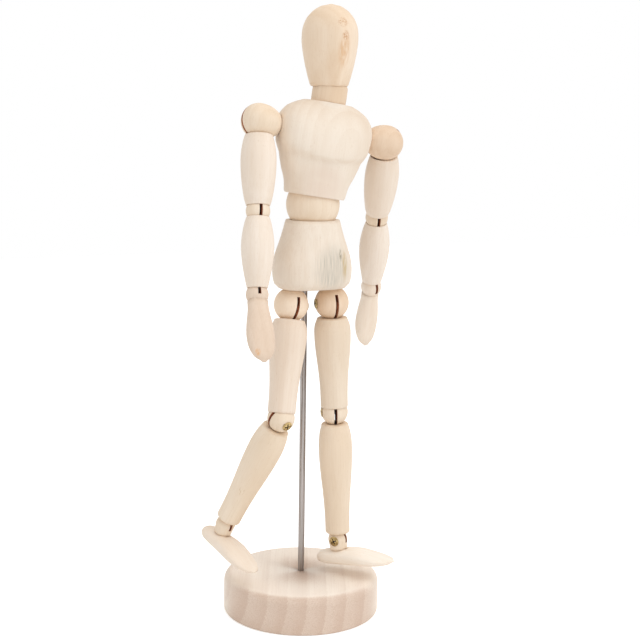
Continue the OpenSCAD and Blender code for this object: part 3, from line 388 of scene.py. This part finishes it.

# Marks on the wood, in mm: a knot's streak on the face, weathered grain on the pelvis, a resin spot on a
# fingertip and flecks on a shin; and painted shade: a warmer flat beside the face's ridge, and greyer wood
# with painted shade below the chest's ridge
stainsAndShade = {
    "head": (
        # Painted shade: a warmer, darker flat beside the face's ridge, where that plane would lie in shade
        {"at": (4.6, -20.6, 270), "size": (5.6, 6, 15), "streak": (3, 3, 9),
         "cut": (0.1, 0.5), "share": 0.4, "colour": "#dcbb97"},
        {"at": (9, -22.6, 280), "size": (4.4, 4.4, 12), "streak": (1, 1, 4),
         "cut": (0.22, 0.62), "share": 0.7, "colour": "#d8ab7c"},
        {"at": (9.4, -23, 287.4), "size": (2.6, 2.6, 3), "streak": (0.6, 0.6, 1),
         "cut": (0.4, 0.62), "share": 0.75, "colour": "#c08b5e"},
        {"at": (8.2, -21.5, 293.5), "size": (3.6, 3.6, 3.2), "streak": (0.7, 0.7, 0.9),
         "cut": (0.38, 0.64), "share": 0.65, "colour": "#c99868"},
    ),
    "chest": (
        # Partly greyer wood and partly painted shade: the lower chest below the ridge, darker as if facing away
        # from the light
        {"at": (0, -19, 217), "size": (24, 14, 15), "streak": (6, 40, 9),
         "cut": (0.1, 0.5), "share": 0.5, "colour": "#dcc6b4"},
    ),
    "pelvis": (
        {"at": (5.5, -22, 178), "size": (12, 12, 15), "streak": (3, 40, 9),
         "cut": (0.1, 0.5), "share": 0.45, "colour": "#d3cabb"},
        {"at": (4, -22, 177), "size": (13, 12, 14), "streak": (0.34, 40, 9),
         "cut": (0.36, 0.68), "share": 0.5, "colour": "#a8a294"},
        {"at": (11.6, -21, 179), "size": (2.2, 4, 10), "streak": (0.6, 40, 5),
         "cut": (0.3, 0.6), "share": 0.6, "colour": "#c0a05c"},
        {"at": (9, -21.6, 184), "size": (1.1, 4, 4), "streak": (0.5, 40, 2),
         "cut": (0.36, 0.6), "share": 0.7, "colour": "#7d6f52"},
    ),
    "hand_r": (
        {"at": (-44.3, -46.1, 144.3), "size": (1.8, 1.8, 2.6), "streak": (0.6, 0.6, 1.4),
         "cut": (0.3, 0.6), "share": 0.7, "colour": "#dda871"},
    ),
    "shin_r": (
        {"at": (-36, -6.8, 67.5), "size": (2.2, 2.2, 3.6), "streak": (0.35, 0.35, 1.6),
         "cut": (0.52, 0.62), "share": 0.55, "colour": "#c9a878"},
    ),
}

makeCamera()

# Each wooden piece, with a point on its grain, the way the grain runs, and its tint
trunkUp = (pointOf("neck_turn") - pointOf("waist_turn")).normalized()
pieces = {
    "pelvis": (pointOf("waist_turn"), up, ashen),
    "waist_ball": (pointOf("waist_turn"), up, warm),
    "chest": (pointOf("neck_turn"), trunkUp, evenAshen),
    "neck": (pointOf("neck_turn"), trunkUp, honey),
    "head": (pointOf("head_tilt"), up, rosy),
}
for side, q in sides:
    left = side == "left"
    shoulder, elbow, wrist, hip, knee, ankle = (pointOf(side + "_" + hinge) for hinge in (
        "arm_swing", "elbow_bend", "wrist_bend", "hip_swing", "knee_bend", "ankle_bend"))
    armUp, foreUp = (shoulder - elbow).normalized(), (elbow - wrist).normalized()
    thighUp, shinUp = (hip - knee).normalized(), (knee - ankle).normalized()
    toeward = axisOf(side + "_ankle_bend").cross(shinUp)
    pieces.update({
        "shoulder_ball" + q: (shoulder, trunkUp, fawn if left else warm),
        "upper_arm" + q: (shoulder, armUp, None),
        "elbow_ball" + q: (elbow, armUp, warm),
        "forearm" + q: (elbow, foreUp, None),
        "hand" + q: (wrist, foreUp, bright if left else tan),
        "hip_ball" + q: (hip, up, amber if left else peach),
        "thigh" + q: (hip, thighUp, sallow if left else blush),
        "knee_ball" + q: (knee, thighUp, warm),
        "shin" + q: (knee, shinUp, warm),
        "ankle_ball" + q: (ankle, shinUp, warm),
        "foot" + q: (ankle, toeward, pale if left else bright),
    })
made = {}
for seed, (node, (centre, along, tint)) in enumerate(pieces.items(), 1):
    wood = makeWood(node + "Linden", centre, along, seed, tint, stainsAndShade.get(node, ()))
    made[node] = sandedCopy(node, wood)
made["base"] = sandedCopy("base", makeWood("baseLinden", Vector(), baseGrain, baseSeed, baseTint))
print("wood done:", len(made))

# The slotted balls, each with the hinge across its slot and how far from it the slot goes, in mm
slotted = (("shoulder_ball", "arm_raise", 8.4), ("elbow_ball", "elbow_bend", 5.6),
           ("hand", "wrist_bend", 5.2), ("hip_ball", "hip_swing", 8.3),
           ("knee_ball", "knee_bend", 6.5), ("ankle_ball", "ankle_bend", 4.7))
sawCut = makeSawCut()
for side, q in sides:
    for node, hinge, reach in slotted:
        scorchAndShadeSlot(made[node + q], side + "_" + hinge, sawCut, reach * mm)
print("slots done:", len(sides) * len(slotted))

# Steel and brass keep their solids; a screw is the pin of its hinge
screwHinge = {screwed + "_screw" + q: side + "_" + hinge for side, q in sides
              for screwed, hinge in (("hip", "hip_swing"), ("knee", "knee_bend"), ("ankle", "ankle_bend"))}
rodMetal = makeSteel("drawnRodSteel", up, rodSteel)
springMetal = makeSteel("springWireSteel", Vector((1, 0, 0)), springSteel)
for node, solid in frame["nodes"].items():
    if node in made:
        continue
    solid.data.materials.clear()
    if node in screwHinge:
        solid.data.materials.append(makeBrass(solid, screwHinge[node]))
    else:
        solid.data.materials.append(rodMetal if node == "support_rod" else springMetal)
print("metal done:", len(frame["nodes"]) - len(made))

# A pale floor that is white to the camera and keeps a faint shadow, and soft studio light
studio = {"floor": "#fafafa", "floorWidth": 3.2, "floorDrop": 0.05 * mm, "floorGlow": 0.42, "floorRough": 0.9,
          "roomLight": 0.635}
lamps = {  # where it hangs and what it points at, its width, all in metres, and its power in watts
    "keyWindow": ((0.55, -0.75, 0.75), (0, 0, 0.15), 0.7, 3),
    "fillWindow": ((-0.8, -0.5, 0.45), (0, 0, 0.15), 0.8, 0.8),
    "ceilingPanel": ((0.1, -0.2, 2), (0, 0, 0.1), 1.9, 14.6),
}


def seenShare(tree):
    # 1 for what the camera sees, straight or in metal, and 0 for the light that falls on the figure
    ray = addNode(tree, "ShaderNodeLightPath").outputs
    share = ray["Is Camera Ray"]
    for other in ("Is Glossy Ray", "Is Transmission Ray"):
        share = addNode(tree, "ShaderNodeMath", {"operation": "MAXIMUM"}, {0: share, 1: ray[other]}).outputs[0]
    return share


def makeFloor():
    bpy.ops.object.select_all(action="DESELECT")
    bpy.ops.mesh.primitive_plane_add(size=studio["floorWidth"], location=(0, 0, -studio["floorDrop"]))
    floor = bpy.context.object
    floor.name = "paleFloor"
    material, tree, shader = newMaterial("paleSweep")
    shader.inputs["Base Color"].default_value = linear(studio["floor"])
    shader.inputs["Roughness"].default_value = studio["floorRough"]
    glow = addNode(tree, "ShaderNodeEmission", None, {"Color": white, "Strength": studio["floorGlow"]}).outputs[0]
    lit = addNode(tree, "ShaderNodeAddShader", None, {0: shader.outputs[0], 1: glow}).outputs[0]
    mixed = addNode(tree, "ShaderNodeMixShader", None, {0: seenShare(tree), 1: shader.outputs[0], 2: lit})
    tree.links.new(mixed.outputs[0], tree.nodes["Material Output"].inputs["Surface"])
    floor.data.materials.append(material)


def hangLamp(name, place, target, width, power):
    bpy.ops.object.light_add(type="AREA", location=place)
    lamp = bpy.context.object
    lamp.name = name
    lamp.data.size = width
    lamp.data.energy = power
    lamp.rotation_euler = (Vector(target) - Vector(place)).to_track_quat("-Z", "Y").to_euler()


def makeRoom():
    world = bpy.data.worlds.new("whiteRoom")
    world.use_nodes = True
    bpy.context.scene.world = world
    tree = world.node_tree
    background = tree.nodes["Background"]
    strength = addNode(tree, "ShaderNodeMapRange", None, {
        "Value": seenShare(tree), "To Min": studio["roomLight"], "To Max": 1}).outputs["Result"]
    tree.links.new(strength, background.inputs["Strength"])
    background.inputs["Color"].default_value = white


makeFloor()
for name, lamp in lamps.items():
    hangLamp(name, *lamp)
makeRoom()
bpy.context.scene.view_settings.view_transform = "Standard"
print("studio done:", len(lamps), "lamps")
